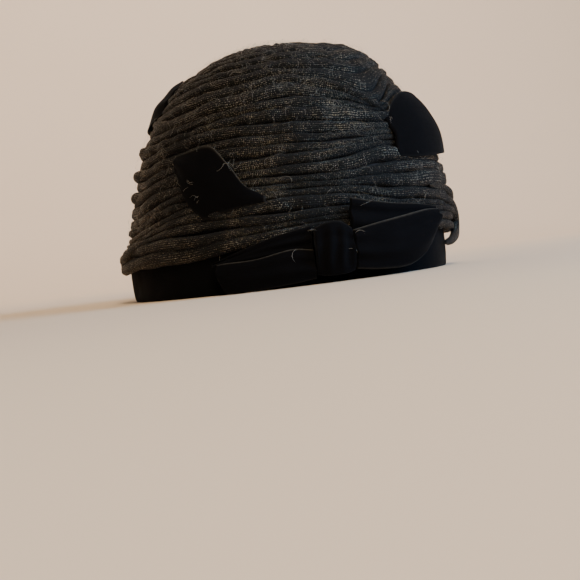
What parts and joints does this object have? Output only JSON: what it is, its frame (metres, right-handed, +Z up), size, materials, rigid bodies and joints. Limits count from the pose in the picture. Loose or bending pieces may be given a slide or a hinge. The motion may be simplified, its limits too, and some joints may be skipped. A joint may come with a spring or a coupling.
{
  "type": "beehive hat",
  "caption": "Soft domed beehive hat wound from knitted cord on a velvet headband, with a velvet bow at the front and velvet tabs tucked among the cords.",
  "frame": {"origin": "under the middle of the hat's bounding box, on the surface that the rim rests on", "axes": "+Z up through the crown, the wearer faces -Y, +X to the wearer's left"},
  "size_m": [0.1822, 0.2172, 0.127],
  "materials": {
    "knit": "black knitted cord with a metallic thread",
    "velvet": "black velvet"
  },
  "bodies": {
    "root": {"swathe_low": "knit", "swathe_front": "knit", "swathe_middle": "knit", "swathe_upper": "knit", "crown_top": "knit", "headband": "velvet", "tab_front_left": "velvet", "tab_right": "velvet", "tab_back_left": "velvet", "bow_knot": "velvet", "bow_left_loop": "velvet", "bow_left_tail": "velvet", "bow_right_loop": "velvet", "bow_upper_loop": "velvet"}
  },
  "joints": []
}
